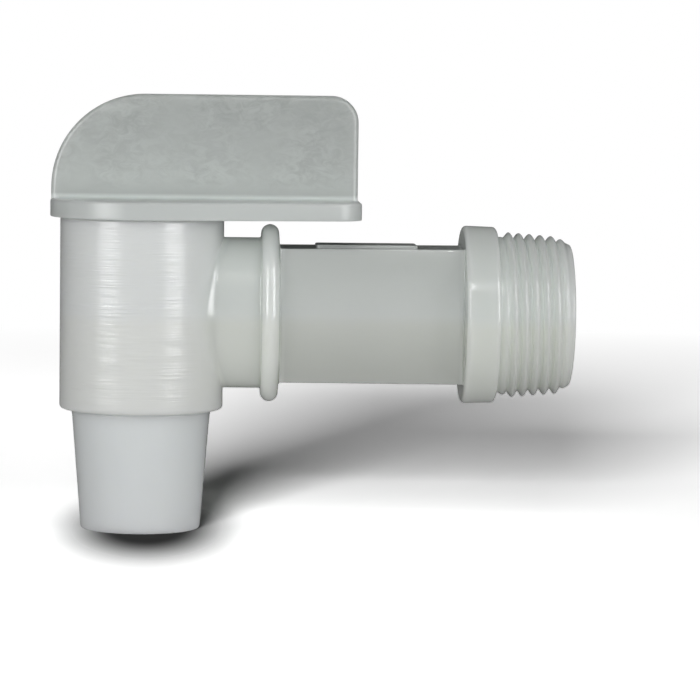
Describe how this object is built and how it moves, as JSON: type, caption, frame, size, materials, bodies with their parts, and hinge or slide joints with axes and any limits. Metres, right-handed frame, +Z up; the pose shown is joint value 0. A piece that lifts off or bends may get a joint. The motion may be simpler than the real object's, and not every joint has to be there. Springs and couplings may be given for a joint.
{
  "type": "drum tap",
  "caption": "Quarter-turn plug tap with a paddle handle, a tapered spout, and a side inlet with a taper thread that screws into a drum or container.",
  "frame": {"origin": "on the inlet axis, in the plane of the collar's outer face, which meets the container wall", "axes": "+X out of the inlet along the thread's axis, +Z up along the key towards the paddle, +Y completes a right-handed frame"},
  "size_m": [0.0876, 0.0308, 0.0731],
  "materials": {
    "body_plastic": "translucent milky white polyethylene, satin to gloss, with fine turning marks",
    "key_plastic": "translucent bluish white polyethylene, satin, lightly scuffed",
    "seal_rubber": "black EPDM, smooth"
  },
  "bodies": {
    "tap_body": {"body": "body_plastic"},
    "turning_key": {"key": "key_plastic", "upper_o_ring": "seal_rubber", "lower_o_ring": "seal_rubber"}
  },
  "joints": [
    {"name": "key_turn", "type": "hinge", "parent": "tap_body", "child": "turning_key", "pos_m": [-0.0596, 0, 0], "axis": [0, 0, 1], "continuous": true}
  ]
}
